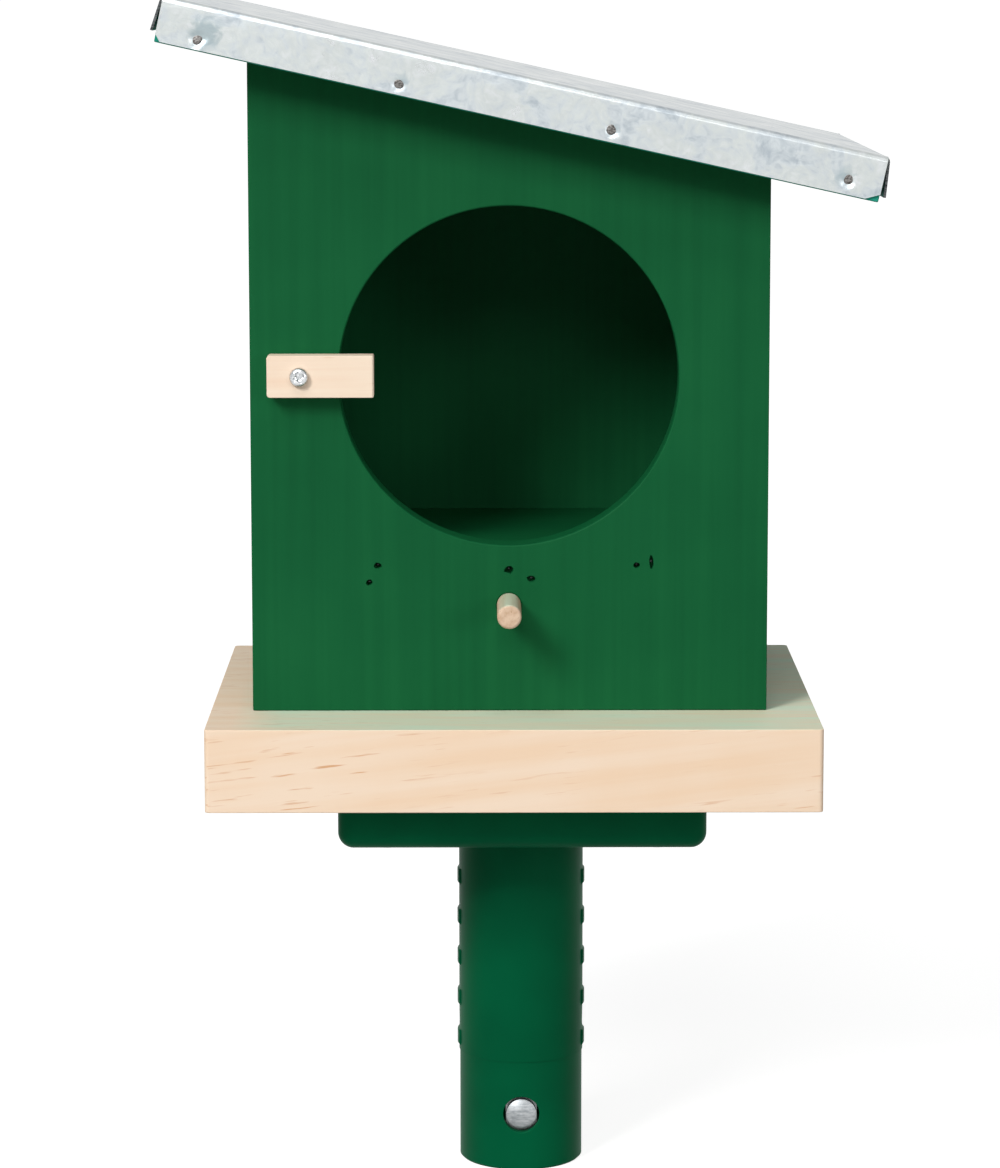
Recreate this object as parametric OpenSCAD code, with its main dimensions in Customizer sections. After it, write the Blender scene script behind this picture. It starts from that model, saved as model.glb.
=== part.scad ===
/* [Post socket] */
// Outside diameter of the lower, plain end of the tube
tube_d = 32; // [28:0.5:45]
// Extra diameter of the ribbed stretch above the plain end
tube_step = 0.4; // [0.1:0.1:1]
// Chamfer at the lower end of the tube
tube_chamfer = 0.6; // [0.3:0.1:1.5]
// Wall thickness of the tube
tube_wall = 2.4; // [2:0.1:4]
// Length of the tube below the flange
tube_drop = 91.8; // [85:0.1:140]
// Length of the plain stretch at the lower end
tube_plain = 29; // [24:1:30]
// Number of grip ribs on each side
rib_count = 5; // [2:1:5]
// Distance from one rib to the next
rib_pitch = 10.8; // [8:0.1:11]
// Height of one rib
rib_h = 4.2; // [3:0.1:6]
// How far a rib stands proud of the tube
rib_proud = 0.45; // [0.2:0.05:1]
// Arc of the tube that one rib covers, in degrees
rib_arc = 26; // [15:1:40]

/* [Snap button] */
// Diameter of the button
button_d = 7.8; // [6:0.1:10]
// Clearance round the button in the hole of the tube
button_gap = 0.8; // [0.2:0.05:1]
// Height of the button's middle above the end of the tube
button_z = 14.9; // [12:0.1:20]
// Height of the button's dome
dome_h = 1; // [0.6:0.1:1.4]
// Width of the spring clip's strip
clip_w = 8; // [6:0.5:10]
// Thickness of the spring clip's strip
clip_t = 0.6; // [0.4:0.1:1]
// Height of the spring clip
clip_h = 52; // [40:1:70]

/* [Flange] */
// Width and depth of the flange
flange_w = 92.5; // [80:0.5:110]
// Thickness of the flange
flange_t = 13.2; // [11:0.1:20]
// Radius of the flange's lower edges and corners
flange_r = 4; // [3:0.5:5]
// Thickness of the flange's moulded walls and ribs
flange_wall = 2.8; // [2:0.1:4]
// Distance between neighbouring screw holes
flange_screws = 68; // [56:1:72]
// Diameter of the flange's screw holes
screw_hole_d = 4.2; // [3:0.1:5]
// Outside diameter of the flange's screw bosses
boss_d = 10; // [8:0.5:12]
// Sideways distance of the tube from the middle of the platform
tube_shift = 2.2; // [0:0.1:5]

/* [Platform] */
// Thickness of the platform
platform_t = 20.7; // [12:0.1:30]
// Depth of the platform in front of the house
porch_d = 26.5; // [15:0.5:60]
// Depth of the platform behind the house
back_lip = 1; // [0:0.5:20]
// Width of the platform beside the house
side_lip = 11.5; // [2:0.5:40]
// Radius of the platform's upright corners
platform_r = 1.2; // [0.5:0.1:6]

/* [House] */
// Outside width of the house
house_w = 129; // [110:1:200]
// Outside depth of the house
house_d = 99.5; // [80:0.5:160]
// Height of the outside of the low wall
wall_low = 133.7; // [130:0.1:200]
// Thickness of the walls
wall_t = 9; // [6:0.5:12]
// Sideways distance of the house from the middle of the platform
house_shift = -0.9; // [-5:0.1:5]
// Height of the top of the inner floor above the platform
floor_top = 39.4; // [33:0.1:41]
// Thickness of the inner floor
floor_t = 9; // [6:0.5:15]

/* [Round opening] */
// Diameter of the opening
hole_d = 84.6; // [70:0.1:86]
// Height of the opening's middle above the platform
hole_z = 84.2; // [84:0.1:86]
// Sideways distance of the opening and the perch from the middle of the house
hole_shift = -0.2; // [-3:0.1:3]

/* [Perch] */
// Diameter of the perch
perch_d = 6; // [4:0.5:10]
// Length of the perch in front of the wall
perch_out = 19.5; // [15:0.5:60]
// Height of the perch above the platform
perch_z = 26.8; // [15:0.1:30]
// Radius of the arris at the perch's end
perch_arris = 0.8; // [0.3:0.1:1.5]

/* [Latch] */
// Height of the latch's pivot above the platform
latch_z = 84.8; // [70:0.1:100]
// Distance of the pivot from the rim of the opening
latch_out = 9.5; // [7:0.1:12]
// Length of the latch from its pivot to its tip
latch_reach = 18.4; // [15:0.1:30]
// Length of the latch from its pivot to its other end
latch_tail = 8; // [5:0.1:12]
// Height of the latch
latch_h = 10.4; // [8:0.1:16]
// Thickness of the latch
latch_t = 6; // [4:0.5:10]
// Radius of the corners at the latch's pivot end
latch_r = 0.8; // [0.5:0.1:3]
// Gap between the latch and the wall
latch_gap = 0.3; // [0.2:0.1:0.5]

/* [Latch screw] */
// Diameter of the screw's head
screw_head_d = 4.7; // [4.5:0.1:8]
// Height of the screw's head
screw_head_h = 1.9; // [1.5:0.1:3]
// Diameter of the screw's shank
screw_d = 2.8; // [2:0.1:4]
// Length of the screw in the wall
screw_grip = 7.5; // [4:0.1:7.5]
// Gap between the screw's head and the latch
screw_gap = 0.2; // [0.1:0.05:0.4]
// Clearance round the shank in the latch
pivot_clear = 0.08; // [0.03:0.01:0.1]

/* [Roof] */
// Slope of the roof in degrees
roof_angle = 12.5; // [5:0.1:25]
// Thickness of the roof board
roof_t = 10.7; // [8:0.1:20]
// Overhang beyond the high wall, along the slope
eave_high = 21.7; // [10:0.1:60]
// Overhang beyond the low wall, along the slope
eave_low = 25.2; // [10:0.1:60]
// Overhang in front of the house
eave_front = 19; // [10:0.5:60]
// Overhang behind the house
eave_back = 21; // [5:0.5:60]
// Radius of the roof board's upper arrises
board_arris = 1; // [0.6:0.1:3]

/* [Roof sheet] */
// Thickness of the sheet
sheet_t = 0.6; // [0.4:0.1:1.2]
// Inside radius of the folds
fold_r = 0.9; // [0.3:0.1:1]
// Gap between the flaps and the edges of the board
flap_gap = 0.15; // [0.1:0.05:0.3]
// Height of the front and back flaps below the top of the board
front_flap = 10.4; // [6:0.1:20]
// Height of the high end's flap below the top of the board
high_flap = 8.3; // [6:0.1:20]
// Height of the low end's flap below the top of the board
low_flap = 9.4; // [6:0.1:20]
// Angle by which the side flaps stand away from the board
flap_splay = 6.5; // [0:0.5:12]
// Width of the snipped corner at the high end of the front flap
snip_high = 1.4; // [0.5:0.1:6]
// Width of the snipped corner at the low end of the front flap
snip_low = 3.4; // [0.5:0.1:6]
// Height of the snipped corners
snip_h = 1.7; // [0.5:0.1:5]
// Open length at each end of the side flaps
corner_relief = 1.2; // [0.5:0.1:5]

/* [Hidden] */
$fn = 96;

// The origin is the middle of the tube's lower end. The front of the house faces -Y.
tube_r = tube_d / 2;
grip_r = tube_r + tube_step / 2;
bore_r = tube_r - tube_wall;
flange_z = tube_drop;
platform_z = flange_z + flange_t;
deck_z = platform_z + platform_t;
platform_w = house_w + 2 * side_lip;
platform_d = porch_d + house_d + back_lip;
platform_x = -tube_shift;

house_x = platform_x + house_shift;
left_x = house_x - house_w / 2;
right_x = house_x + house_w / 2;
front_y = -platform_d / 2 + porch_d;
back_y = front_y + house_d;
inside_w = house_w - 2 * wall_t;
inside_d = house_d - 2 * wall_t;
wall_high = wall_low + house_w * tan(roof_angle);

hole_x = house_x + hole_shift;
pivot_x = hole_x - hole_d / 2 - latch_out;
pivot_z = deck_z + latch_z;
latch_y = front_y - latch_gap;

roof_len = house_w / cos(roof_angle) + eave_high + eave_low;
roof_d = eave_front + house_d + eave_back;

button_r = button_d / 2;
// The clip's strip is flat, so its edges meet the round bore before its middle does
clip_fit = 0.1;
clip_y = sqrt(bore_r ^ 2 - (clip_w / 2) ^ 2) - clip_fit;
clip_below = 7;
clip_flat = 14;
clip_bend_r = 2.5;
clip_arc_steps = 24;
// The button's tail goes through the strip and is swaged behind it
tail_r = 2.4;
tail_clear = 0.05;
swage_r = 3.2;
swage_t = 0.7;
latch_tip_r = 0.4;
screw_arris = 1.1;
recess_w = 2.8;
recess_slot = 0.75;
recess_depth = 1.1;
recess_turn = 20;
// Thickness of the two ribs that cross inside the flange
rib_t = 2.2;
// Plain length between the step of the tube and its lowest rib
rib_start = 1.3;
// Gap between the tube and the flange's collar
collar_gap = 0.05;
// Smallest radius of the upright corners inside the flange
inner_corner_r = 0.5;

// Rounded rectangle from the corner [0, 0], with one radius on the corners at x = 0
// and another on those at x = size.x
module plate(size, r_near, r_far) {
    union() {
        translate([r_near, 0]) square([size.x - r_near - r_far, size.y]);
        translate([0, r_near]) square([r_near, size.y - 2 * r_near]);
        translate([size.x - r_far, r_far]) square([r_far, size.y - 2 * r_far]);
        for (y = [r_near, size.y - r_near]) translate([r_near, y]) circle(r_near);
        for (y = [r_far, size.y - r_far]) translate([size.x - r_far, y]) circle(r_far);
    }
}

// Upright outline in X and Z, extruded towards +Y from the plane y
module upright(y, depth) {
    translate([0, y + depth, 0]) rotate([90, 0, 0]) linear_extrude(depth) children();
}

// Outline of a wall between x0 and x1, cut to the slope of the roof at its top
module wall_outline(x0, x1) {
    function top(x) = deck_z + wall_low + (right_x - x) * tan(roof_angle);
    polygon([[x0, deck_z], [x1, deck_z], [x1, top(x1)], [x0, top(x0)]]);
}

// The roof's own frame: X runs down the slope from the high wall, Z leaves the board's underside
module on_roof() {
    translate([left_x, front_y, deck_z + wall_high]) rotate([0, roof_angle, 0]) children();
}

module platform() {
    color("burlywood")
        translate([platform_x - platform_w / 2, -platform_d / 2, platform_z])
            linear_extrude(platform_t)
                plate([platform_w, platform_d], platform_r, platform_r);
}

module front_wall() {
    color("darkgreen") difference() {
        upright(front_y, wall_t) wall_outline(left_x, right_x);
        translate([hole_x, front_y - 1, deck_z + hole_z])
            rotate([-90, 0, 0]) cylinder(h = wall_t + 2, d = hole_d, $fn = 180);
        translate([hole_x, front_y - 1, deck_z + perch_z])
            rotate([-90, 0, 0]) cylinder(h = wall_t + 2, d = perch_d);
        translate([pivot_x, front_y - 1, pivot_z])
            rotate([-90, 0, 0]) cylinder(h = screw_grip + 1, d = screw_d);
    }
}

module back_wall() {
    color("darkgreen") upright(back_y - wall_t, wall_t) wall_outline(left_x, right_x);
}

module left_wall() {
    color("darkgreen") upright(front_y + wall_t, inside_d) wall_outline(left_x, left_x + wall_t);
}

module right_wall() {
    color("darkgreen") upright(front_y + wall_t, inside_d) wall_outline(right_x - wall_t, right_x);
}

module inner_floor() {
    color("darkgreen")
        translate([left_x + wall_t, front_y + wall_t, deck_z + floor_top - floor_t])
            cube([inside_w, inside_d, floor_t]);
}

// The board's two upper arrises in each direction come from one profile
module arris_profile(width) {
    union() {
        square([width, roof_t - board_arris]);
        translate([board_arris, 0]) square([width - 2 * board_arris, roof_t]);
        for (x = [board_arris, width - board_arris])
            translate([x, roof_t - board_arris]) circle(board_arris);
    }
}

module roof_board() {
    color("darkgreen") on_roof() translate([-eave_high, -eave_front, 0]) intersection() {
        translate([0, roof_d, 0]) rotate([90, 0, 0])
            linear_extrude(roof_d) arris_profile(roof_len);
        rotate([90, 0, 90]) linear_extrude(roof_len) arris_profile(roof_d);
    }
}

// Section of one fold with its flap, for a sheet that lies on the plane y = 0 and ends at x = 0.
// The flat stretch reaches lap past the fold, into the top of the sheet.
module fold_section(flap, splay) {
    lap = 1;
    outer = fold_r + sheet_t;
    reach = 2 * outer;
    flap_len = (flap - fold_r) / cos(splay);
    translate([fold_r - flap_gap, 0]) {
        square([lap, sheet_t]);
        translate([0, -fold_r]) {
            intersection() {
                difference() {
                    circle(outer);
                    circle(fold_r);
                }
                translate([-reach, 0]) square(reach);
                // turned as the flap is, so that the fold ends exactly on it
                rotate(-splay) translate([-reach, 0]) square([2 * reach, reach]);
            }
            rotate(-splay) translate([-outer, -flap_len]) square([sheet_t, flap_len]);
        }
    }
}

// A flap along X at the front of the sheet, its lower corners snipped
module long_flap() {
    difference() {
        rotate([90, 0, 90]) linear_extrude(roof_len) fold_section(front_flap, 0);
        snip(snip_high);
        translate([roof_len, 0, 0]) mirror([1, 0, 0]) snip(snip_low);
    }
}

// What the snips take off the corner of a flap at X = 0
module snip(width) {
    low = -front_flap;
    translate([0, -flap_gap / 2, 0]) rotate([90, 0, 0]) linear_extrude(flap_gap + 2 * sheet_t)
        polygon([[-1, low - 1], [width, low - 1], [width, low], [0, low + snip_h], [-1, low + snip_h]]);
}

// A flap along Y at the high end of the sheet
module short_flap(flap) {
    length = roof_d - 2 * corner_relief;
    translate([0, roof_d - corner_relief, 0])
        rotate([90, 0, 0]) linear_extrude(length) fold_section(flap, flap_splay);
}

module roof_sheet() {
    inset = fold_r - flap_gap;
    color("silver") on_roof() translate([-eave_high, -eave_front, roof_t]) {
        translate([inset, inset, 0])
            cube([roof_len - 2 * inset, roof_d - 2 * inset, sheet_t]);
        long_flap();
        translate([0, roof_d, 0]) mirror([0, 1, 0]) long_flap();
        short_flap(high_flap);
        translate([roof_len, 0, 0]) mirror([1, 0, 0]) short_flap(low_flap);
    }
}

// Half of a turned end: a shaft of radius r and length len with a rounded arris at its far end
module turned_profile(r, len, arris) {
    union() {
        square([r, len - arris]);
        square([r - arris, len]);
        translate([r - arris, len - arris]) intersection() {
            circle(arris);
            square(arris);
        }
    }
}

module perch() {
    color("burlywood")
        translate([hole_x, front_y + wall_t, deck_z + perch_z]) rotate([90, 0, 0])
            rotate_extrude() turned_profile(perch_d / 2, wall_t + perch_out, perch_arris);
}

module latch() {
    color("wheat") difference() {
        upright(latch_y - latch_t, latch_t)
            translate([pivot_x - latch_tail, pivot_z - latch_h / 2])
                plate([latch_tail + latch_reach, latch_h], latch_r, latch_tip_r);
        translate([pivot_x, latch_y - latch_t - 1, pivot_z])
            rotate([-90, 0, 0]) cylinder(h = latch_t + 2, r = screw_d / 2 + pivot_clear);
    }
}

module latch_screw() {
    head_y = latch_y - latch_t - screw_gap;
    shank = front_y + screw_grip - head_y;
    color("silver") translate([pivot_x, head_y, pivot_z]) rotate([90, 0, 0]) difference() {
        union() {
            rotate_extrude() turned_profile(screw_head_d / 2, screw_head_h, screw_arris);
            translate([0, 0, -shank]) cylinder(h = shank + screw_arris, d = screw_d);
        }
        // cross recess
        for (turn = [0, 90]) rotate(recess_turn + turn)
            translate([0, 0, screw_head_h])
                cube([recess_w, recess_slot, 2 * recess_depth], center = true);
    }
}

// Plan of the flange's moulded wall, reduced by inset all round
module flange_plan(inset) {
    side = flange_w - 2 * inset;
    corner = max(flange_r - inset, inner_corner_r);
    translate([-side / 2, -side / 2]) plate([side, side], corner, corner);
}

// Outside of the flange, with its lower edges and corners rounded
module flange_body() {
    c = flange_w / 2 - flange_r;
    union() {
        translate([0, 0, flange_r]) linear_extrude(flange_t - flange_r) flange_plan(0);
        translate([-c, -c, 0]) cube([2 * c, 2 * c, flange_r + 1]);
        for (turn = [0:90:270]) rotate(turn) {
            translate([-c, -c, flange_r]) rotate([0, 90, 0]) cylinder(h = 2 * c, r = flange_r);
            translate([-c, -c, flange_r]) sphere(flange_r);
        }
    }
}

module socket_flange() {
    screw_at = flange_screws / 2;
    color("darkgreen") translate([0, 0, flange_z]) difference() {
        union() {
            difference() {
                flange_body();
                translate([0, 0, flange_wall]) linear_extrude(flange_t) flange_plan(flange_wall);
            }
            // collar round the tube, ribs and screw bosses, all up to the platform
            cylinder(h = flange_t, r = grip_r + collar_gap + flange_wall);
            for (turn = [0, 90]) rotate(turn)
                translate([-flange_w / 2 + flange_wall / 2, -rib_t / 2, flange_wall / 2])
                    cube([flange_w - flange_wall, rib_t, flange_t - flange_wall / 2]);
            for (x = [-screw_at, screw_at], y = [-screw_at, screw_at])
                translate([x, y, 0]) cylinder(h = flange_t, d = boss_d);
        }
        translate([0, 0, -1]) cylinder(h = flange_t + 2, r = grip_r + collar_gap);
        for (x = [-screw_at, screw_at], y = [-screw_at, screw_at])
            translate([x, y, -1]) cylinder(h = flange_t + 2, d = screw_hole_d);
    }
}

// Ring with sloped shoulders that stands proud of the tube, centred on the plane z = 0
module rib_ring() {
    half = rib_h / 2;
    crest = grip_r + rib_proud;
    shoulder = half - rib_proud;
    rotate_extrude()
        polygon([
            [bore_r, -half], [grip_r, -half], [crest, -shoulder],
            [crest, shoulder], [grip_r, half], [bore_r, half],
        ]);
}

module socket_tube() {
    rib_w = 2 * grip_r * sin(rib_arc / 2);
    first_rib = tube_plain + rib_start + rib_h / 2;
    color("darkgreen") difference() {
        union() {
            // the round faces start at the front, so that their seam runs through the button's hole
            rotate(-90) {
                cylinder(h = tube_chamfer, r1 = tube_r - tube_chamfer, r2 = tube_r);
                translate([0, 0, tube_chamfer]) cylinder(h = tube_plain - tube_chamfer, r = tube_r);
                translate([0, 0, tube_plain]) cylinder(h = platform_z - tube_plain, r = grip_r);
            }
            // the ribs are short pads on the left and the right
            intersection() {
                for (i = [0:rib_count - 1]) translate([0, 0, first_rib + i * rib_pitch]) rib_ring();
                translate([-tube_d, -rib_w / 2, 0]) cube([2 * tube_d, rib_w, platform_z]);
            }
        }
        translate([0, 0, -1]) cylinder(h = platform_z + 2, r = bore_r);
        translate([0, 0, button_z]) rotate([90, 0, 0])
            cylinder(h = tube_d, r = button_r + button_gap);
    }
}

// The button turns about the Y axis, so it is drawn along +Z and laid over towards the front
module snap_button() {
    shoulder = clip_y;
    crest = tube_r;
    dome_r = (button_r ^ 2 + dome_h ^ 2) / (2 * dome_h);
    color("silver") translate([0, 0, button_z]) rotate([90, 0, 0]) union() {
        translate([0, 0, shoulder]) cylinder(h = crest - dome_h - shoulder, r = button_r);
        rotate_extrude() intersection() {
            translate([0, crest - dome_r]) circle(dome_r);
            translate([0, crest - dome_h]) square([button_r, dome_h]);
        }
        translate([0, 0, shoulder - clip_t]) cylinder(h = clip_t, r = tail_r);
        translate([0, 0, shoulder - clip_t - swage_t]) cylinder(h = swage_t, r = swage_r);
    }
}

// One face of the clip's strip as points in Y and Z, offset from the middle of the strip:
// up the front leg, which stands flat on the wall and then slopes, round the bend and down again
function clip_face(offset) =
    let (
        leg_y = clip_y - clip_t / 2,
        foot_z = button_z - clip_below,
        knee_z = foot_z + clip_flat,
        bend_z = foot_z + clip_h - clip_bend_r - clip_t / 2,
        span = [leg_y, bend_z - knee_z],
        lean = atan2(span.x, span.y) - asin(clip_bend_r / norm(span)),
        reach = leg_y + offset,
        knee = knee_z + offset * tan(lean / 2),
        sweep = 180 - 2 * lean
    )
    [
        [-reach, foot_z], [-reach, knee],
        for (i = [0:clip_arc_steps]) let (a = 180 - lean - i * sweep / clip_arc_steps)
            [0, bend_z] + (clip_bend_r + offset) * [cos(a), sin(a)],
        [reach, knee], [reach, foot_z],
    ];

module button_spring() {
    outer = clip_face(clip_t / 2);
    inner = clip_face(-clip_t / 2);
    color("gray") difference() {
        translate([-clip_w / 2, 0, 0]) rotate([90, 0, 90]) linear_extrude(clip_w)
            polygon(concat(outer, [for (i = [len(inner) - 1:-1:0]) inner[i]]));
        translate([0, 0, button_z]) rotate([90, 0, 0])
            cylinder(h = tube_d, r = tail_r + tail_clear);
    }
}

platform();
front_wall();
left_wall();
right_wall();
back_wall();
inner_floor();
roof_board();
roof_sheet();
perch();
latch();
latch_screw();
socket_flange();
socket_tube();
snap_button();
button_spring();
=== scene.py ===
"""Bird feeder: the finishes, small hardware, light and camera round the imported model.

A board box under a sheet-covered roof stands on a pine platform, with a moulded pole socket below.
Lengths are in metres, as in the frame, unless a name ends in _mm or _MM.
"""
import math
import random

import bmesh
import bpy
from mathutils import Matrix, Vector


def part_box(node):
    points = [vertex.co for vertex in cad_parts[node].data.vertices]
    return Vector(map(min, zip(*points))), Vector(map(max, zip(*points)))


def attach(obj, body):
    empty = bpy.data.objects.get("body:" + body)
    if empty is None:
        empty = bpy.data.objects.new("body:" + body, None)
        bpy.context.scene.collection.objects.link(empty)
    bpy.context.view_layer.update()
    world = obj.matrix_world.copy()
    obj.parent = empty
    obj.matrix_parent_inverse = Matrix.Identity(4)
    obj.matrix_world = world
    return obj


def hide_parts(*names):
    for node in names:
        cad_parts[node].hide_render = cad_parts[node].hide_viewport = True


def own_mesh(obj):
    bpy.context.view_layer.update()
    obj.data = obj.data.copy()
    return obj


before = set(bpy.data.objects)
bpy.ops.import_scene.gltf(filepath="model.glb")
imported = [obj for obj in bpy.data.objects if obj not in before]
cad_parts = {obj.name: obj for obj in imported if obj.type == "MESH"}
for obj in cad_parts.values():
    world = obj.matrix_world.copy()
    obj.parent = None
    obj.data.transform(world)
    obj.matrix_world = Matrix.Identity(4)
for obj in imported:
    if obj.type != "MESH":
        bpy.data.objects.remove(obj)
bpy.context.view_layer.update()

MM = 0.001


# ---------------------------------------------------------------- small helpers

def linear(colour):
    """An sRGB hex colour as linear RGBA."""
    values = [int(colour[i:i + 2], 16) / 255 for i in (1, 3, 5)]
    return tuple(v / 12.92 if v <= 0.04045 else ((v + 0.055) / 1.055) ** 2.4 for v in values) + (1.0,)


def add(tree, kind, inputs=None, stops=None, **settings):
    """Adds one node: its own settings, then its sockets, each given a value or a link."""
    made = tree.nodes.new(kind)
    for name, value in settings.items():
        setattr(made, name, value)
    if stops:
        ramp = made.color_ramp.elements
        while len(ramp) < len(stops):
            ramp.new(1.0)
        for element, (place, colour) in zip(ramp, stops):
            element.position = place
            element.color = linear(colour)
    for key, value in (inputs or {}).items():
        socket = made.inputs[key]
        if isinstance(value, bpy.types.NodeSocket):
            tree.links.new(value, socket)
        else:
            socket.default_value = value
    return made


def new_finish(name, **shader):
    """A material with its shader and the piece's own coordinates in millimetres."""
    finish = bpy.data.materials.new(name)
    finish.use_nodes = True
    tree = finish.node_tree
    tree.nodes.clear()
    place = add(tree, "ShaderNodeTexCoord").outputs["Object"]
    mm = add(tree, "ShaderNodeMapping", {"Vector": place, "Scale": (1000, 1000, 1000)})
    surface = add(tree, "ShaderNodeBsdfPrincipled", {k.replace("_", " "): v for k, v in shader.items()})
    add(tree, "ShaderNodeOutputMaterial", {"Surface": surface.outputs["BSDF"]})
    return finish, tree, surface, mm.outputs["Vector"]


# ---------------------------------------------------------------- finishes

def painted_pine(name, along, coat=("#0B522D", "#0E5730", "#125C33")):
    """Planed pine under two coats of brushed acrylic paint: even and nearly matt, and the fibres
    still show through it as faint streaks along the board. `along` is the axis of the fibres, and
    `coat` is the paint from its thinnest to its thickest."""
    finish, tree, surface, mm = new_finish(name, Roughness=0.55, Specular_IOR_Level=0.07)
    pull = [1.0, 1.0, 1.0]
    pull[along] = 1 / 45
    fibres = add(tree, "ShaderNodeMapping", {"Vector": mm, "Scale": pull})
    streaks = add(tree, "ShaderNodeTexNoise", {"Vector": fibres.outputs[0], "Scale": 1 / 2.4, "Detail": 3.0,
                                               "Roughness": 0.5})
    coats = add(tree, "ShaderNodeTexNoise", {"Vector": mm, "Scale": 1 / 38, "Detail": 2.0})
    both = add(tree, "ShaderNodeMix", {0: 0.55, 2: streaks.outputs["Fac"], 3: coats.outputs["Fac"]},
               data_type="FLOAT")
    colour = add(tree, "ShaderNodeValToRGB", {"Fac": both.outputs[0]},
                 stops=list(zip((0.34, 0.5, 0.66), coat)))
    tree.links.new(colour.outputs["Color"], surface.inputs["Base Color"])
    sheen = add(tree, "ShaderNodeMapRange", {"Value": streaks.outputs["Fac"], "To Min": 0.48, "To Max": 0.62})
    tree.links.new(sheen.outputs["Result"], surface.inputs["Roughness"])
    relief = add(tree, "ShaderNodeBump", {"Height": streaks.outputs["Fac"], "Distance": 0.00012,
                                          "Strength": 0.35})
    tree.links.new(relief.outputs["Normal"], surface.inputs["Normal"])
    return finish


def bare_pine(name, light, dark, fleck, slant=0.0, ring_mm=5.0, along=0, painted_green_bounce=0.0):
    """Planed softwood, unfinished: broad faint bands of early and late wood, cut at a small angle
    to the log so that the grain climbs across the face, with short darker resin dashes in it.
    The last argument sets how much of a painted green tint shows on the upper face: painted light, standing
    in for light bounced off the green walls."""
    finish, tree, surface, mm = new_finish(name, Roughness=0.6, Specular_IOR_Level=0.2)
    log = add(tree, "ShaderNodeMapping", {"Vector": mm, "Rotation": (0.0, slant, 0.0)})
    pull = [1.0, 1.0, 1.0]
    pull[along] = 1 / 30
    bands = add(tree, "ShaderNodeMapping", {"Vector": log.outputs[0], "Scale": pull})
    rings = add(tree, "ShaderNodeTexNoise", {"Vector": bands.outputs[0], "Scale": 1 / ring_mm, "Detail": 3.0,
                                             "Roughness": 0.55})
    pull[along] = 1 / 16
    fibres = add(tree, "ShaderNodeMapping", {"Vector": log.outputs[0], "Scale": pull})
    fine = add(tree, "ShaderNodeTexNoise", {"Vector": fibres.outputs[0], "Scale": 1 / 0.85, "Detail": 2.0,
                                            "Roughness": 0.55})
    broad = add(tree, "ShaderNodeTexNoise", {"Vector": mm, "Scale": 1 / 32, "Detail": 2.0})
    band = add(tree, "ShaderNodeMix", {0: 0.35, 2: rings.outputs["Fac"], 3: broad.outputs["Fac"]},
               data_type="FLOAT")
    colour = add(tree, "ShaderNodeValToRGB", {"Fac": band.outputs[0]}, stops=[(0.38, dark), (0.58, light)])
    dash = add(tree, "ShaderNodeMapRange", {"Value": fine.outputs["Fac"], "From Min": 0.62, "From Max": 0.7})
    patch = add(tree, "ShaderNodeMapRange", {"Value": broad.outputs["Fac"], "From Min": 0.4,
                                             "From Max": 0.62})
    resin = add(tree, "ShaderNodeMath", {0: dash.outputs["Result"], 1: patch.outputs["Result"]},
                operation="MULTIPLY")
    wood = add(tree, "ShaderNodeMix", {0: resin.outputs[0], 6: colour.outputs["Color"], 7: linear(fleck)},
               data_type="RGBA")
    # painted light: upward faces take a green tint in place of the light bounced off the green walls
    facing = add(tree, "ShaderNodeNewGeometry")
    up = add(tree, "ShaderNodeSeparateXYZ", {"Vector": facing.outputs["Normal"]})
    upper = add(tree, "ShaderNodeMapRange", {"Value": up.outputs["Z"], "From Min": 0.5, "From Max": 0.95,
                                             "To Max": painted_green_bounce})
    # the painted green bounce fades out left of the wall's corner
    across = add(tree, "ShaderNodeSeparateXYZ", {"Vector": mm})
    kept = add(tree, "ShaderNodeMapRange", {"Value": across.outputs["X"], "From Min": -72.0,
                                            "From Max": -60.0, "To Max": upper.outputs["Result"]})
    bounce_share = add(tree, "ShaderNodeMath", {0: kept.outputs["Result"], 1: rings.outputs["Fac"]},
                operation="MULTIPLY")
    with_painted_bounce = add(tree, "ShaderNodeMix", {0: bounce_share.outputs[0], 6: wood.outputs[2], 7: linear("#BFE8CE")},
                 data_type="RGBA")
    tree.links.new(with_painted_bounce.outputs[2], surface.inputs["Base Color"])
    relief = add(tree, "ShaderNodeBump", {"Height": fine.outputs["Fac"], "Distance": 0.00008,
                                          "Strength": 0.3})
    tree.links.new(relief.outputs["Normal"], surface.inputs["Normal"])
    return finish


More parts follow.
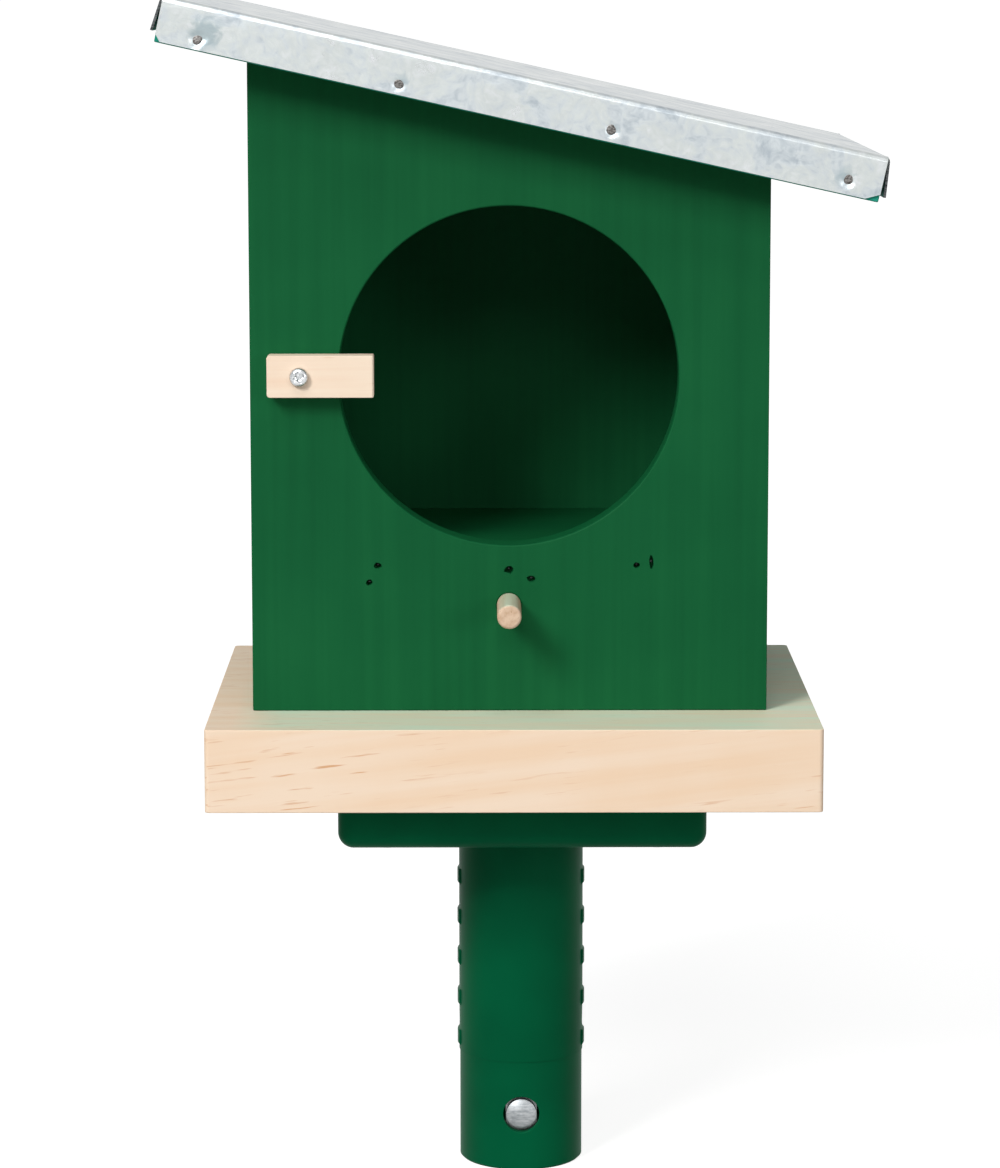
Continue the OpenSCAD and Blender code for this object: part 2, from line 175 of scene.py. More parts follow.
def galvanised(name, nail_patches_mm):
    """Hot-dipped steel sheet: soft grey zinc with a cloudy spangle, rubbed smoother here and there, and a
    darker, bluer grey in a ragged patch beside each nail. The second argument gives X, Z and radius of each
    patch."""
    finish, tree, surface, mm = new_finish(name, Metallic=1.0, Roughness=0.34)
    cloud = add(tree, "ShaderNodeTexNoise", {"Vector": mm, "Scale": 1 / 11, "Detail": 6.0, "Roughness": 0.62,
                                             "Distortion": 0.9})
    spangle = add(tree, "ShaderNodeTexNoise", {"Vector": mm, "Scale": 1 / 3.2, "Detail": 2.0,
                                               "Distortion": 1.6})
    both = add(tree, "ShaderNodeMix", {0: 0.3, 2: cloud.outputs["Fac"], 3: spangle.outputs["Fac"]},
               data_type="FLOAT")
    colour = add(tree, "ShaderNodeValToRGB", {"Fac": both.outputs[0]},
                 stops=[(0.34, "#99A1A7"), (0.46, "#B4BABD"), (0.54, "#BCC1C0"), (0.68, "#CBCED0")])
    flat = add(tree, "ShaderNodeMapping", {"Vector": mm, "Scale": (1, 0, 1)})
    # darker, bluer grey in a ragged patch beside each nail
    patch_share = None
    for x, z, radius in nail_patches_mm:
        apart = add(tree, "ShaderNodeVectorMath", {0: flat.outputs[0], 1: (x, 0, z)}, operation="DISTANCE")
        ragged = add(tree, "ShaderNodeMath", {0: spangle.outputs["Fac"], 1: 5.0, 2: apart.outputs["Value"]},
                     operation="MULTIPLY_ADD")
        near = add(tree, "ShaderNodeMapRange", {"Value": ragged.outputs[0], "From Min": radius + 4.2,
                                                "From Max": radius + 1.4, "To Max": 0.75})
        patch_share = near.outputs[0] if patch_share is None else add(tree, "ShaderNodeMath", {0: patch_share, 1: near.outputs[0]},
                                                        operation="MAXIMUM").outputs[0]
    patched = add(tree, "ShaderNodeMix", {0: patch_share, 6: colour.outputs["Color"], 7: linear("#8F9EA3")},
                  data_type="RGBA")
    tree.links.new(patched.outputs[2], surface.inputs["Base Color"])
    sheen = add(tree, "ShaderNodeMapRange", {"Value": cloud.outputs["Fac"], "From Min": 0.3, "From Max": 0.7,
                                             "To Min": 0.42, "To Max": 0.26})
    tree.links.new(sheen.outputs["Result"], surface.inputs["Roughness"])
    dents = add(tree, "ShaderNodeBump", {"Height": cloud.outputs["Fac"], "Distance": 0.0008,
                                         "Strength": 0.2})
    tree.links.new(dents.outputs["Normal"], surface.inputs["Normal"])
    return finish


def moulded_plastic(name):
    """Injection-moulded polypropylene: dark green all through, with the soft gloss of a fine
    spark-eroded mould."""
    finish, tree, surface, mm = new_finish(name, Roughness=0.42, IOR=1.15, Specular_IOR_Level=0.3)
    flow = add(tree, "ShaderNodeTexNoise", {"Vector": mm, "Scale": 1 / 25, "Detail": 2.0})
    colour = add(tree, "ShaderNodeValToRGB", {"Fac": flow.outputs["Fac"]},
                 stops=[(0.35, "#005434"), (0.65, "#005C39")])
    tree.links.new(colour.outputs["Color"], surface.inputs["Base Color"])
    # the real grain is about 0.1 mm; drawn at 0.35 mm so that it shows
    grain = add(tree, "ShaderNodeTexNoise", {"Vector": mm, "Scale": 1 / 0.35, "Detail": 2.0})
    relief = add(tree, "ShaderNodeBump", {"Height": grain.outputs["Fac"], "Distance": 0.00003,
                                          "Strength": 0.5})
    tree.links.new(relief.outputs["Normal"], surface.inputs["Normal"])
    return finish


def drawn_metal(name, light, dark, roughness, streak_mm=0.35, along=0, pull=8.0):
    """Plated or drawn steel: streaks along the way it was drawn, and a fine uneven shine."""
    finish, tree, surface, mm = new_finish(name, Metallic=1.0, Roughness=roughness)
    scale = [1.0, 1.0, 1.0]
    scale[along] = 1 / pull
    drawn = add(tree, "ShaderNodeMapping", {"Vector": mm, "Scale": scale})
    streaks = add(tree, "ShaderNodeTexNoise", {"Vector": drawn.outputs[0], "Scale": 1 / streak_mm,
                                               "Detail": 3.0, "Roughness": 0.6})
    colour = add(tree, "ShaderNodeValToRGB", {"Fac": streaks.outputs["Fac"]},
                 stops=[(0.35, dark), (0.62, light)])
    tree.links.new(colour.outputs["Color"], surface.inputs["Base Color"])
    shine = add(tree, "ShaderNodeMapRange", {"Value": streaks.outputs["Fac"], "To Min": roughness * 0.75,
                                             "To Max": roughness * 1.3})
    tree.links.new(shine.outputs["Result"], surface.inputs["Roughness"])
    relief = add(tree, "ShaderNodeBump", {"Height": streaks.outputs["Fac"], "Distance": 0.00005,
                                          "Strength": 0.4})
    tree.links.new(relief.outputs["Normal"], surface.inputs["Normal"])
    return finish


WALL_PAINT = painted_pine("acrylic_on_pine_upright", along=2)
BOARD_PAINT = painted_pine("acrylic_on_pine_lying", along=0)
ROOF_PAINT = painted_pine("teal_stain_on_roof_pine", along=0, coat=("#1B8570", "#23927C", "#2E9E88"))
# the platform and the perch carry painted green bounce on their upper faces
PLATFORM_PINE = bare_pine("planed_pine_platform", "#F4DCC4", "#F1D3B5", "#DCAA80", slant=0.12, painted_green_bounce=0.95)
LATCH_PINE = bare_pine("planed_pine_latch", "#F4E0CA", "#EFD3BA", "#E2BE9E", slant=0.01, ring_mm=3.5)
PERCH_BEECH = bare_pine("turned_dowel", "#DCC0A6", "#C4A283", "#A98562", ring_mm=1.8, along=1, painted_green_bounce=0.9)
SOCKET_GREEN = moulded_plastic("moulded_polypropylene")
SCREW_ZINC = drawn_metal("zinc_plated_screw", "#D5D7D9", "#A3A6A8", 0.2)
NAIL_STEEL = drawn_metal("hammered_wire_nail", "#807E7C", "#2E2A28", 0.42, pull=1.5)
BUTTON_STEEL = drawn_metal("polished_button_steel", "#A6A9AB", "#868A8D", 0.46, streak_mm=0.5)
CLIP_STEEL = drawn_metal("rolled_spring_steel", "#A9ABAC", "#7C7E80", 0.35, along=2)
# Near-black steel: partly the darker raw steel of a cut edge, partly painted shade; it darkens the sheared
# flap ends and the brad heads
SHADE_DARK_STEEL = drawn_metal("steel_darkened_as_painted_shade", "#5E6162", "#232525", 0.5, streak_mm=0.3)


# ---------------------------------------------------------------- pieces from the CAD solids

def merged(node):
    """The mesh of a CAD node as one joined, clean mesh: shared points, flat faces whole."""
    work = bmesh.new()
    work.from_mesh(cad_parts[node].data)
    bmesh.ops.remove_doubles(work, verts=work.verts, dist=0.002 * MM)
    bmesh.ops.dissolve_limit(work, angle_limit=math.radians(0.2), verts=work.verts, edges=work.edges)
    return work


def piece(name, work, body, finish, replaces=None, corner=35):
    """Turns a bmesh into a finished piece: smooth where faces meet at less than `corner` degrees."""
    mesh = bpy.data.meshes.new(name)
    work.to_mesh(mesh)
    work.free()
    made = bpy.data.objects.new(name, mesh)
    bpy.context.scene.collection.objects.link(made)
    settle(made, finish, corner)
    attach(made, body)
    if replaces:
        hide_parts(replaces)
    return made


def settle(made, finish, corner=35):
    """One material, and smooth shading broken at the corners."""
    made.data.materials.clear()
    made.data.materials.append(finish)
    made.data.polygons.foreach_set("use_smooth", [True] * len(made.data.polygons))
    made.data.set_sharp_from_angle(angle=math.radians(corner))


def flat_faces(made):
    """Weights the shading to the large faces, which keeps them flat beside a small round."""
    level = made.modifiers.new("flat faces", "WEIGHTED_NORMAL")
    level.mode = "FACE_AREA"
    level.weight = 100
    level.keep_sharp = True


def ease(made, width_mm):
    """Takes the sharp arris off a sawn or planed piece."""
    bevel = made.modifiers.new("arris", "BEVEL")
    bevel.width = width_mm * MM
    bevel.segments = 2
    bevel.limit_method = "ANGLE"
    bevel.angle_limit = math.radians(40)
    flat_faces(made)


def plain(made):
    """Applies what the modifiers do, so that the piece is a plain mesh."""
    graph = bpy.context.evaluated_depsgraph_get()
    mesh = bpy.data.meshes.new_from_object(made.evaluated_get(graph), depsgraph=graph)
    made.modifiers.clear()
    made.data = mesh


def true_round(made, centre, axis, radii_mm):
    """Gives the long facets of a turned or bored surface the normals of the true cylinder."""
    mesh = made.data
    centre, axis = Vector(centre), Vector(axis)
    normals = [Vector(corner.vector) for corner in mesh.corner_normals]
    for face in mesh.polygons:
        if abs(face.normal.dot(axis)) > 0.05:
            continue
        arms = [mesh.vertices[v].co - centre for v in face.vertices]
        arms = [arm - axis * arm.dot(axis) for arm in arms]
        if any(all(abs(arm.length - r * MM) < 0.02 * MM for arm in arms) for r in radii_mm):
            way = 1 if face.normal.dot(sum(arms, Vector())) > 0 else -1
            for loop, arm in zip(face.loop_indices, arms):
                normals[loop] = arm.normalized() * way
    mesh.normals_split_custom_set([tuple(normal) for normal in normals])


# The roof's own frame: u runs down the slope from the high wall, v from the front wall to the
# back, w leaves the underside of the board.
ROOF_ANGLE = math.radians(12.5)
front_lo, front_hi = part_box("front_wall")
ROOF_ORIGIN = Vector((front_lo.x, front_lo.y, front_hi.z))
ROOF = Matrix.Translation(ROOF_ORIGIN) @ Matrix.Rotation(ROOF_ANGLE, 4, "Y")
BOARD_HIGH_END = -21.7 * MM
HOUSE_D_MM = 99.5          # front of the front wall to back of the back wall
EAVE_FRONT = -19.0 * MM
EAVE_BACK = (HOUSE_D_MM + 21.0) * MM
FLAP_FACE = 0.75 * MM      # from the edge of the board to the outside of the flap
SHEET = 0.6 * MM

# Nails in the long flaps: distance from the high end, height above the board's underside, and the
# radius and depth of the cup that each one pulled into the sheet
NAILS_MM = ((10.1, 2.9, 2.7, 0.6), (59.5, 2.6, 2.0, 0.4), (112.3, 3.2, 2.3, 0.4), (170.8, 3.8, 2.4, 0.5))
NAIL_R = 1.45 * MM
PATCH_HALF = 3.6 * MM      # half the side of the square of fine mesh round each nail

# The darker, bluer patch on the front flap beside each nail: X and Z from the nail, and radius
NAIL_PATCHES_MM = ((1.8, 1.6, 3.2), (1.0, 1.0, 0.6), (0.4, 0.2, 0.4), (-1.2, 0.6, 1.4))


def nail_places():
    """Point on the face of the flap, direction out of it, and the nail's number."""
    for side, face in ((-1, EAVE_FRONT - FLAP_FACE), (1, EAVE_BACK + FLAP_FACE)):
        for number, (u, w, _, _) in enumerate(NAILS_MM):
            yield Vector((BOARD_HIGH_END + u * MM, face, w * MM)), side, number


def cup_depth(x, z, number):
    """Depth of the dent round a nail at (x, z) from it: a cup that isn't quite round."""
    _, _, radius, depth = NAILS_MM[number]
    angle = math.atan2(z, x)
    rim = radius * MM * (1 + 0.10 * math.sin(2 * angle + 1.7 * number) + 0.07 * math.sin(3 * angle + number))
    share = math.hypot(x, z) / rim
    if share >= 1:
        return 0.0
    return depth * MM * (0.5 + 0.5 * math.cos(math.pi * share)) ** 0.8


def on_flap(v, place, side):
    """Whether a vertex lies on the outer or the inner face of the flap that holds the nail."""
    inner = place.y - side * SHEET
    return min(abs(v.co.y - place.y), abs(v.co.y - inner)) < 0.01 * MM


def flap_faces(work, place, side):
    """The faces that lie wholly on the flap that holds the nail."""
    return [f for f in work.faces if all(on_flap(v, place, side) for v in f.verts)]


def dent_sheet(work):
    """Cuts a fine patch round each nail into both faces of the flap and presses it in."""
    work.transform(ROOF.inverted())
    for place, side, number in nail_places():
        for axis, offset in ((0, -PATCH_HALF), (0, PATCH_HALF), (2, -PATCH_HALF), (2, PATCH_HALF)):
            faces = flap_faces(work, place, side)
            cut = Vector(place)
            cut[axis] += offset
            normal = Vector((0, 0, 0))
            normal[axis] = 1
            geometry = (faces + list({e for f in faces for e in f.edges})
                        + list({v for f in faces for v in f.verts}))
            bmesh.ops.bisect_plane(work, geom=geometry, plane_co=cut, plane_no=normal, dist=0.005 * MM)
        patch = [f for f in flap_faces(work, place, side)
                 if abs(f.calc_center_median().x - place.x) < PATCH_HALF
                 and abs(f.calc_center_median().z - place.z) < PATCH_HALF]
        edges = list({e for f in patch for e in f.edges})
        bmesh.ops.subdivide_edges(work, edges=edges, cuts=17, use_grid_fill=True)
        for v in work.verts:
            x, z = v.co.x - place.x, v.co.z - place.z
            if abs(x) < PATCH_HALF and abs(z) < PATCH_HALF and on_flap(v, place, side):
                v.co.y -= side * cup_depth(x, z, number)
    work.transform(ROOF)
    return work


# ---------------------------------------------------------------- hardware set out by nodes

def hardware_tree(name):
    """Heads on shanks, one on each point, turned along the point's own direction. The head is a low
    dome, and a cross recess is cut into it where `Recess` is above zero."""
    tree = bpy.data.node_groups.new(name, "GeometryNodeTree")
    sockets = tree.interface
    sockets.new_socket("Geometry", in_out="INPUT", socket_type="NodeSocketGeometry")
    for label in ("Head radius", "Head rise", "Shank radius", "Shank length", "Recess", "Tilt"):
        sockets.new_socket(label, in_out="INPUT", socket_type="NodeSocketFloat")
    sockets.new_socket("Seed", in_out="INPUT", socket_type="NodeSocketInt")
    sockets.new_socket("Material", in_out="INPUT", socket_type="NodeSocketMaterial")
    sockets.new_socket("Geometry", in_out="OUTPUT", socket_type="NodeSocketGeometry")
    given = add(tree, "NodeGroupInput").outputs
    ball = add(tree, "GeometryNodeMeshUVSphere", {"Segments": 24, "Rings": 12, "Radius": 1.0})
    size = add(tree, "ShaderNodeCombineXYZ", {"X": given["Head radius"], "Y": given["Head radius"],
                                              "Z": given["Head rise"]})
    dome = add(tree, "GeometryNodeTransform", {"Geometry": ball.outputs["Mesh"], "Scale": size.outputs[0]})
    long_slot = add(tree, "ShaderNodeMath", {0: given["Recess"], 1: 4.0}, operation="MULTIPLY")
    bars = []
    for wide, deep in ((long_slot.outputs[0], given["Recess"]), (given["Recess"], long_slot.outputs[0])):
        block = add(tree, "ShaderNodeCombineXYZ", {"X": wide, "Y": deep, "Z": given["Head rise"]})
        bar = add(tree, "GeometryNodeMeshCube", {"Size": block.outputs[0]})
        lift = add(tree, "ShaderNodeCombineXYZ", {"Z": given["Head rise"]})
        bars.append(add(tree, "GeometryNodeTransform", {"Geometry": bar.outputs["Mesh"],
                                                        "Translation": lift.outputs[0]}).outputs[0])
    cross = add(tree, "GeometryNodeMeshBoolean", {"Mesh 1": dome.outputs[0]}, operation="DIFFERENCE",
                solver="EXACT")
    for bar in bars:
        tree.links.new(bar, cross.inputs["Mesh 2"])
    crossed = add(tree, "FunctionNodeCompare", {0: given["Recess"], 1: 0.0}, data_type="FLOAT",
                  operation="GREATER_THAN")
    head = add(tree, "GeometryNodeSwitch", {"Switch": crossed.outputs[0], "False": dome.outputs[0],
                                            "True": cross.outputs[0]}, input_type="GEOMETRY")
    shank = add(tree, "GeometryNodeMeshCylinder", {"Vertices": 16, "Radius": given["Shank radius"],
                                                   "Depth": given["Shank length"]})
    half = add(tree, "ShaderNodeMath", {0: given["Shank length"], 1: -0.5}, operation="MULTIPLY")
    drop = add(tree, "ShaderNodeCombineXYZ", {"Z": half.outputs[0]})
    sunk = add(tree, "GeometryNodeTransform", {"Geometry": shank.outputs["Mesh"],
                                               "Translation": drop.outputs[0]})
    whole = add(tree, "GeometryNodeJoinGeometry")
    tree.links.new(sunk.outputs[0], whole.inputs[0])
    tree.links.new(head.outputs[0], whole.inputs[0])
    facing = add(tree, "GeometryNodeInputNamedAttribute", {"Name": "facing"}, data_type="FLOAT_VECTOR")
    aim = add(tree, "FunctionNodeAlignRotationToVector", {"Vector": facing.outputs[0]}, axis="Z")
    high = add(tree, "ShaderNodeCombineXYZ", {"X": given["Tilt"], "Y": given["Tilt"], "Z": math.pi})
    low = add(tree, "ShaderNodeVectorMath", {0: high.outputs[0], 1: (-1, -1, -1)}, operation="MULTIPLY")
    spin = add(tree, "FunctionNodeRandomValue", {0: low.outputs[0], 1: high.outputs[0],
                                                 "Seed": given["Seed"]},
               data_type="FLOAT_VECTOR")
    turn = add(tree, "FunctionNodeEulerToRotation", {0: spin.outputs[0]})
    aimed = add(tree, "FunctionNodeRotateRotation", {0: aim.outputs[0], 1: turn.outputs[0]},
                rotation_space="LOCAL")
    placed = add(tree, "GeometryNodeInstanceOnPoints", {"Points": given["Geometry"],
                                                        "Instance": whole.outputs[0],
                                                        "Rotation": aimed.outputs[0]})
    real = add(tree, "GeometryNodeRealizeInstances", {"Geometry": placed.outputs[0]})
    coated = add(tree, "GeometryNodeSetMaterial", {"Geometry": real.outputs[0],
                                                   "Material": given["Material"]})
    add(tree, "NodeGroupOutput", {"Geometry": coated.outputs[0]})
    return tree


def set_hardware(name, tree, places, body, slot, finish, **sizes):
    """Runs the tree over the places (point, direction) and keeps the result as one plain piece."""
    mesh = bpy.data.meshes.new(name)
    mesh.from_pydata([tuple(point) for point, _ in places], [], [])
    facing = mesh.attributes.new("facing", "FLOAT_VECTOR", "POINT")
    facing.data.foreach_set("vector", [c for _, direction in places for c in direction])
    made = bpy.data.objects.new(name, mesh)
    bpy.context.scene.collection.objects.link(made)
    nodes = made.modifiers.new("set out", "NODES")
    nodes.node_group = tree
    for socket in tree.interface.items_tree:
        if socket.in_out == "INPUT" and socket.name in sizes:
            nodes[socket.identifier] = sizes[socket.name]
        elif socket.in_out == "INPUT" and socket.name == "Material":
            nodes[socket.identifier] = finish
    plain(made)
    settle(made, finish)
    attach(made, body)


# ---------------------------------------------------------------- making the object

for node_name, name, slot, finish, arris in (
        ("platform", "platform_board", "bare_pine", PLATFORM_PINE, 0.2),
        ("left_wall", "left_board", "green_paint", WALL_PAINT, 0.3),
        ("right_wall", "right_board", "green_paint", WALL_PAINT, 0.3),
        ("back_wall", "back_board", "green_paint", WALL_PAINT, 0.4),
        ("inner_floor", "floor_board", "green_paint", BOARD_PAINT, 0.3),
        ("roof_board", "roof_plank", "green_paint", ROOF_PAINT, 0.3),
        ("perch", "perch_dowel", "perch_wood", PERCH_BEECH, 0)):
    made = piece(name, merged(node_name), "house", finish, replaces=node_name)
    if arris:
        ease(made, arris)

latch = piece("latch_bar", merged("latch"), "turn_button", LATCH_PINE, replaces="latch")
ease(latch, 0.15)

button_lo, button_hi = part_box("snap_button")
button_z = (button_lo.z + button_hi.z) / 2
RIM_R = (button_hi.x - button_lo.x) / 2 + 0.8 * MM     # the button's radius and its gap
TUBE_R_MM = 16.0
TUBE_RADII_MM = (TUBE_R_MM, 16.2, 16.65, 13.6)     # plain end, ribbed stretch, crest of a rib, bore
PERCH_R_MM = 3.0


def ease_button_hole(work):
    """Breaks the rim of the button's hole, where the mould leaves a small round."""
    def on_rim(v):
        return (v.co.y < 0 and abs(math.hypot(v.co.x, v.co.z - button_z) - RIM_R) < 0.03 * MM
                and abs(math.hypot(v.co.x, v.co.y) - TUBE_R_MM * MM) < 0.05 * MM)
    rim = [e for e in work.edges if all(on_rim(v) for v in e.verts)]
    bmesh.ops.bevel(work, geom=rim, offset=0.32 * MM, segments=2, profile=0.5, affect="EDGES",
                    clamp_overlap=False)
    return work


for node_name, name, body, slot, finish in (
        ("latch_screw", "pan_screw", "house", "plated_screw", SCREW_ZINC),
        ("socket_flange", "flange_moulding", "house", "socket_plastic", SOCKET_GREEN),
        ("snap_button", "button_stud", "snap_button", "plated_screw", BUTTON_STEEL)):
    piece(name, merged(node_name), body, finish, replaces=node_name)

tube = piece("tube_moulding", ease_button_hole(merged("socket_tube")), "house",
             SOCKET_GREEN, replaces="socket_tube")
true_round(tube, (0, 0, 0), (0, 0, 1), TUBE_RADII_MM)

clip = piece("spring_clip", merged("button_spring"), "house", CLIP_STEEL,
             replaces="button_spring")

perch_lo, perch_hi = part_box("perch")
perch_middle = (perch_lo + perch_hi) / 2
true_round(bpy.data.objects["perch_dowel"], perch_middle, (0, 1, 0), (PERCH_R_MM,))

# Brads in the front wall along the edge of the inner floor, sunk and left unfilled: place from the
# middle of the opening, height above the platform, half width and half height of the pit, depth
BRADS_MM = (
    (-32.8, 36.8, 1.0, 0.8, 2.4), (-34.9, 32.6, 0.9, 0.8, 2.4), (0.0, 35.7, 1.1, 0.9, 2.6),
    (5.6, 33.5, 1.1, 0.8, 2.2), (31.9, 36.9, 0.8, 0.8, 2.6), (35.6, 37.6, 0.5, 1.7, 2.6),
)
OPENING_UP_MM = 84.2     # middle of the opening above the platform
OPENING_R_MM = 42.3
deck_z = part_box("platform")[1].z
middle_x = perch_middle.x
wall_face = front_lo.y


def pit_cutters():
    """The pits of the brads as one mesh: torn eight-sided holes that narrow towards their bottom."""
    work = bmesh.new()
    torn = random.Random(7)
    worn = 1.1    # the surface torn up round each brad
    for x, z, half_w, half_h, depth in BRADS_MM:
        rings = []
        wobble = [torn.uniform(0.82, 1.15) for _ in range(8)]
        for y, grow in ((-0.5, 1.05), (0.0, 1.0), (depth, 0.8)):
            ring = []
            for i, far in enumerate(wobble):
                a = math.tau * (i + 0.5) / 8
                ring.append(work.verts.new((
                    middle_x + (x + half_w * far * grow * math.cos(a) * worn) * MM,
                    wall_face + y * MM,
                    deck_z + (z + half_h * far * grow * math.sin(a) * worn) * MM)))
            rings.append(ring)
        for near, deep in zip(rings, rings[1:]):
            for i in range(8):
                j = (i + 1) % 8
                work.faces.new((near[i], near[j], deep[j], deep[i]))
        work.faces.new(list(reversed(rings[0])))
        work.faces.new(rings[-1])
    bmesh.ops.recalc_face_normals(work, faces=work.faces)
    return work


front = piece("front_board", merged("front_wall"), "house", WALL_PAINT,
              replaces="front_wall")
ease(front, 0.35)
cutter_mesh = bpy.data.meshes.new("pits")
cutters = pit_cutters()
cutters.to_mesh(cutter_mesh)
cutters.free()
cutter = bpy.data.objects.new("pits", cutter_mesh)
bpy.context.scene.collection.objects.link(cutter)
pits = front.modifiers.new("pits", "BOOLEAN")
pits.object = cutter
pits.operation = "DIFFERENCE"
pits.solver = "EXACT"
flat_faces(front)
plain(front)
bpy.data.objects.remove(cutter)
true_round(front, (middle_x, 0, deck_z + OPENING_UP_MM * MM), (0, 1, 0), (OPENING_R_MM,))

nail_patches_mm = []
for place, side, number in nail_places():
    if side < 0:
        x, z, radius = NAIL_PATCHES_MM[number]
        at = ROOF @ (place + Vector((x * MM, 0, z * MM)))
        nail_patches_mm.append((at.x / MM, at.z / MM, radius))
ZINC_SHEET = galvanised("hot_dipped_zinc_sheet", nail_patches_mm)
sheet = piece("roof_sheet_metal", dent_sheet(merged("roof_sheet")), "house", ZINC_SHEET,
              replaces="roof_sheet", corner=30)
# the sheared ends of the side flaps take the near-black steel: darker raw steel, and painted shade where they
# sit in shadow
sheet.data.materials.append(SHADE_DARK_STEEL)
flap_ends = (EAVE_FRONT, EAVE_BACK)
for face in sheet.data.polygons:
    # the sheared ends of the side flaps face the front or the back, farther in than the long flaps
    middle = ROOF.inverted() @ face.center
    if abs(face.normal.y) > 0.99 and min(abs(middle.y - end) for end in flap_ends) > 0.9 * MM:
        face.material_index = 1

hardware = hardware_tree("set_hardware")
nail_points = []
for place, side, number in nail_places():
    sunk = Vector((place.x, place.y - side * (NAILS_MM[number][3] - 0.05) * MM, place.z))
    nail_points.append((ROOF @ sunk, Vector((0, side, 0))))
set_hardware("sheet_nails", hardware, nail_points, "house", "plated_screw", NAIL_STEEL,
             **{"Head radius": NAIL_R, "Head rise": 0.25 * MM, "Shank radius": 0.8 * MM,
                "Shank length": 9 * MM, "Recess": 0.0, "Tilt": 0.22, "Seed": 3})

brad_points = [(Vector((middle_x + x * MM, wall_face + (depth - 0.3) * MM, deck_z + z * MM)),
                Vector((0, -1, 0)))
               for x, z, _, _, depth in BRADS_MM]
# the brad heads take the same near-black steel, which paints shade at the bottom of each pit
set_hardware("wall_brads", hardware, brad_points, "house", "plated_screw", SHADE_DARK_STEEL,
             **{"Head radius": 0.35 * MM, "Head rise": 0.12 * MM, "Shank radius": 0.3 * MM,
                "Shank length": 5 * MM, "Recess": 0.0, "Tilt": 0.15, "Seed": 5})

flange_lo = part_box("socket_flange")[0]
FLANGE_SCREW = 34 * MM     # each flange screw from the socket's axis, in X and in Y
screw_points = [(Vector((x, y, flange_lo.z + 0.2 * MM)), Vector((0, 0, -1)))
                for x in (-FLANGE_SCREW, FLANGE_SCREW) for y in (-FLANGE_SCREW, FLANGE_SCREW)]
set_hardware("flange_screws", hardware, screw_points, "house", "plated_screw", SCREW_ZINC,
             **{"Head radius": 3.9 * MM, "Head rise": 2.0 * MM, "Shank radius": 1.9 * MM,
                "Shank length": 24 * MM, "Recess": 0.9 * MM, "Tilt": 0.03, "Seed": 11})

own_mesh(clip)


# ---------------------------------------------------------------- floor, light and camera

LAMPS_AIM = Vector((0, 0, 0.2))     # the point in the box that every lamp faces


def softbox(name, azimuth, elevation, distance, width, height, watts):
    """A white rectangular lamp that faces the box. Azimuth 0 is in front, + to the right."""
    lamp = bpy.data.lights.new(name, "AREA")
    lamp.shape = "RECTANGLE"
    lamp.size, lamp.size_y = width, height
    lamp.energy = watts
    made = bpy.data.objects.new(name, lamp)
    a, e = math.radians(azimuth), math.radians(elevation)
    away = Vector((math.sin(a) * math.cos(e), -math.cos(a) * math.cos(e), math.sin(e)))
    made.location = LAMPS_AIM + away * distance
    made.rotation_euler = (-away).to_track_quat("-Z", "Y").to_euler()
    made.visible_camera = False
    bpy.context.scene.collection.objects.link(made)


# Plain white softboxes that light everything alike: the key on the left, a weaker one high in
# front, one on the right that reaches in through the opening, and one above.
softbox("key", -32, 31, 3.0, 0.75, 0.9, 60)
softbox("front", -2, 24, 3.0, 0.9, 0.6, 10)
softbox("right", 35, 9, 3.0, 0.6, 0.7, 11)
softbox("above", -18, 62, 2.4, 1.6, 1.2, 16)

floor_mesh = bpy.data.meshes.new("floor")
reach = 40.0
floor_mesh.from_pydata([(-reach, -reach, 0), (reach, -reach, 0), (reach, reach, 0), (-reach, reach, 0)],
                       [], [(0, 1, 2, 3)])
floor = bpy.data.objects.new("floor", floor_mesh)
bpy.context.scene.collection.objects.link(floor)

paper = bpy.data.materials.new("matt_studio_paper")
paper.use_nodes = True
paper_tree = paper.node_tree
paper_tree.nodes.clear()
ray = add(paper_tree, "ShaderNodeLightPath")
matt = add(paper_tree, "ShaderNodeBsdfDiffuse", {"Color": linear("#A8A8A6")})
spot = add(paper_tree, "ShaderNodeTexCoord")
far = add(paper_tree, "ShaderNodeVectorMath", {0: spot.outputs["Object"]}, operation="LENGTH")
rise = add(paper_tree, "ShaderNodeMapRange", {"Value": far.outputs["Value"], "From Min": 0.5, "From Max": 1.8,
                                              "To Min": 0.88, "To Max": 1.0})
glow = add(paper_tree, "ShaderNodeEmission", {"Color": (1, 1, 1, 1), "Strength": rise.outputs["Result"]})
lit = add(paper_tree, "ShaderNodeAddShader", {0: matt.outputs[0], 1: glow.outputs[0]})
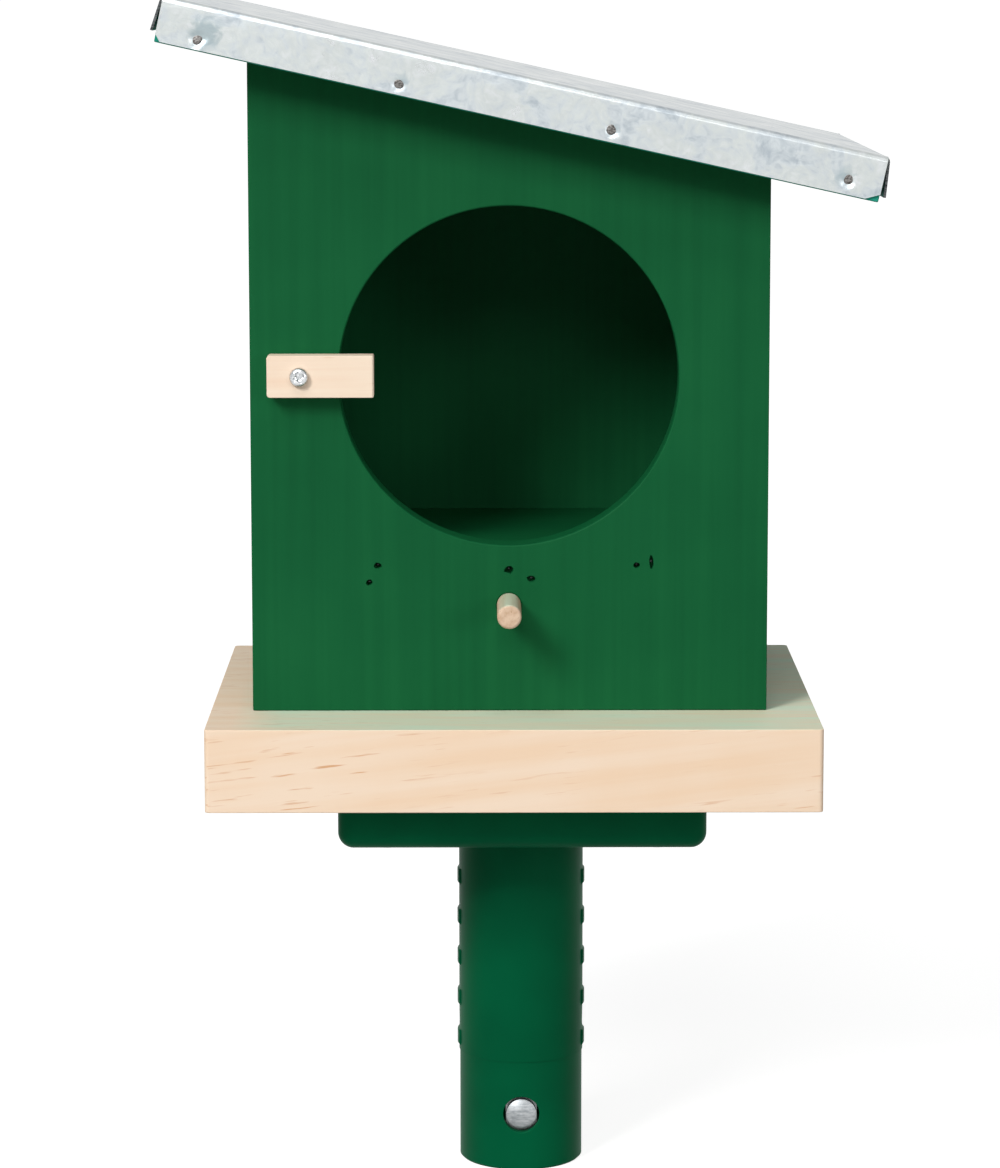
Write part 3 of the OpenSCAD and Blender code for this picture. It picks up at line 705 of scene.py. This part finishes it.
# metal shows the same white paper as the eye sees
seen = add(paper_tree, "ShaderNodeMath", {0: ray.outputs["Is Camera Ray"], 1: ray.outputs["Is Glossy Ray"]},
           operation="MAXIMUM")
top_side = add(paper_tree, "ShaderNodeMixShader", {0: seen.outputs[0], 1: matt.outputs[0], 2: lit.outputs[0]})
under = add(paper_tree, "ShaderNodeBsdfTransparent")
back = add(paper_tree, "ShaderNodeNewGeometry")
both_sides = add(paper_tree, "ShaderNodeMixShader", {0: back.outputs["Backfacing"], 1: top_side.outputs[0],
                                                     2: under.outputs[0]})
add(paper_tree, "ShaderNodeOutputMaterial", {"Surface": both_sides.outputs[0]})
floor_mesh.materials.append(paper)

world = bpy.data.worlds.new("studio")
bpy.context.scene.world = world
world.use_nodes = True
sky = world.node_tree
sky.nodes.clear()
ray = add(sky, "ShaderNodeLightPath")
ambient = add(sky, "ShaderNodeBackground", {"Color": linear("#F4FAFF"), "Strength": 0.13})
white = add(sky, "ShaderNodeBackground", {"Color": (1, 1, 1, 1), "Strength": 1.0})
clear_ray = add(sky, "ShaderNodeMath", {0: ray.outputs["Is Camera Ray"],
                                        1: ray.outputs["Is Transmission Ray"]}, operation="MAXIMUM")
seen = add(sky, "ShaderNodeMath", {0: clear_ray.outputs[0], 1: ray.outputs["Is Glossy Ray"]},
           operation="MAXIMUM")
shown = add(sky, "ShaderNodeMixShader", {0: seen.outputs[0], 1: ambient.outputs[0],
                                         2: white.outputs[0]})
add(sky, "ShaderNodeOutputWorld", {"Surface": shown.outputs[0]})

lens = bpy.data.cameras.new("camera")
lens.sensor_fit = "HORIZONTAL"
lens.sensor_width = 36
lens.lens = 147.46
lens.clip_start, lens.clip_end = 0.05, 100
camera = bpy.data.objects.new("camera", lens)
camera.location = Vector((-8.77, -1049.85, 310.57)) * MM
camera.rotation_euler = (Matrix.Rotation(math.radians(-0.183), 3, "Z")
                         @ Matrix.Rotation(math.radians(90 - 8.574), 3, "X")
                         @ Matrix.Rotation(math.radians(-0.043), 3, "Z")).to_euler()
bpy.context.scene.collection.objects.link(camera)
bpy.context.scene.camera = camera

bpy.context.scene.view_settings.view_transform = "Standard"
